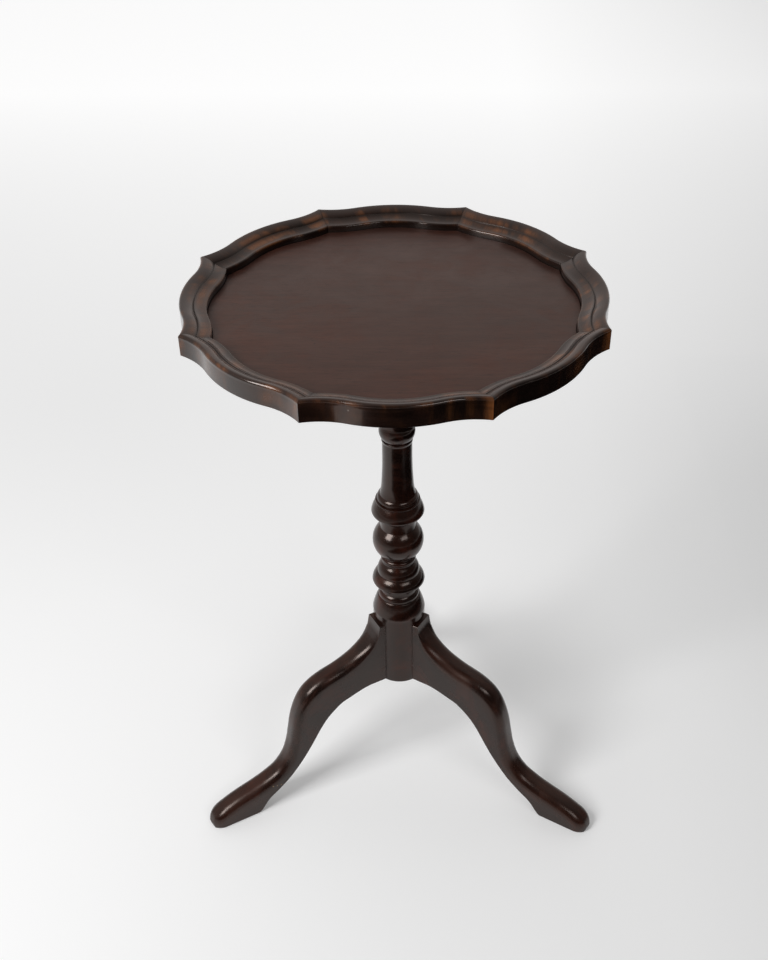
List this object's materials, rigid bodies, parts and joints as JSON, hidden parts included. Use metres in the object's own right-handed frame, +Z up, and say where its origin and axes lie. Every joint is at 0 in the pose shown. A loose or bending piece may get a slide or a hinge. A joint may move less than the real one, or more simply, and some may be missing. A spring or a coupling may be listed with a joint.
{
  "type": "tilt top table",
  "caption": "Small round wine table with a lobed moulded tray top that tilts on a turned column with cabriole tripod legs.",
  "frame": {"origin": "centre of the table's footprint, on the floor", "axes": "+Z up, +X towards the table's right seen from the front, +Y towards the back leg; the top's hinge runs along X"},
  "size_m": [0.4298, 0.4401, 0.6086],
  "materials": {
    "column_mahogany": "dark stained mahogany, satin lacquer",
    "leg_mahogany": "dark stained mahogany, satin lacquer",
    "panel_mahogany": "dark stained mahogany, satin lacquer",
    "rim_mahogany": "dark stained mahogany, satin lacquer, worn on the mouldings",
    "block_mahogany": "dark stained mahogany, thin finish",
    "bearer_mahogany": "dark stained, unpolished",
    "wedge_beech": "bare, glued",
    "steel": "dulled mild steel",
    "brass": "tarnished cast and rolled brass"
  },
  "bodies": {
    "base": {"column": "column_mahogany", "leg_front_left": "leg_mahogany", "leg_front_right": "leg_mahogany", "leg_back": "leg_mahogany", "brace_plate": "steel", "brace_screw_centre": "steel", "brace_screw_front_left": "steel", "brace_screw_front_right": "steel", "brace_screw_back": "steel", "tilt_block": "block_mahogany", "tenon_wedge": "wedge_beech", "pivot_pin_left": "steel", "pivot_pin_right": "steel", "keeper_plate": "brass", "keeper_screw_left": "brass", "keeper_screw_right": "brass"},
    "top": {"top_panel": "panel_mahogany", "rim_segment_1": "rim_mahogany", "rim_segment_2": "rim_mahogany", "rim_segment_3": "rim_mahogany", "rim_segment_4": "rim_mahogany", "rim_segment_5": "rim_mahogany", "rim_segment_6": "rim_mahogany", "rim_segment_7": "rim_mahogany", "rim_segment_8": "rim_mahogany", "bearer_left": "bearer_mahogany", "bearer_right": "bearer_mahogany", "bearer_screw_left_front": "steel", "bearer_screw_left_middle": "steel", "bearer_screw_left_back": "steel", "bearer_screw_right_front": "steel", "bearer_screw_right_middle": "steel", "bearer_screw_right_back": "steel", "catch_plate": "brass", "catch_guide": "brass", "guide_screw_left": "brass", "guide_screw_right": "brass", "plate_screw_left": "brass", "plate_screw_right": "brass"},
    "bolt": {"catch_bolt": "brass", "catch_knob": "brass"}
  },
  "joints": [
    {"name": "top_tilt", "type": "hinge", "parent": "base", "child": "top", "pos_m": [0, -0.0489, 0.5754], "axis": [1, 0, 0], "range_deg": [0, 90]},
    {"name": "bolt_slide", "type": "slide", "parent": "top", "child": "bolt", "axis": [0, -1, 0], "range_m": [0, 0.008]}
  ]
}
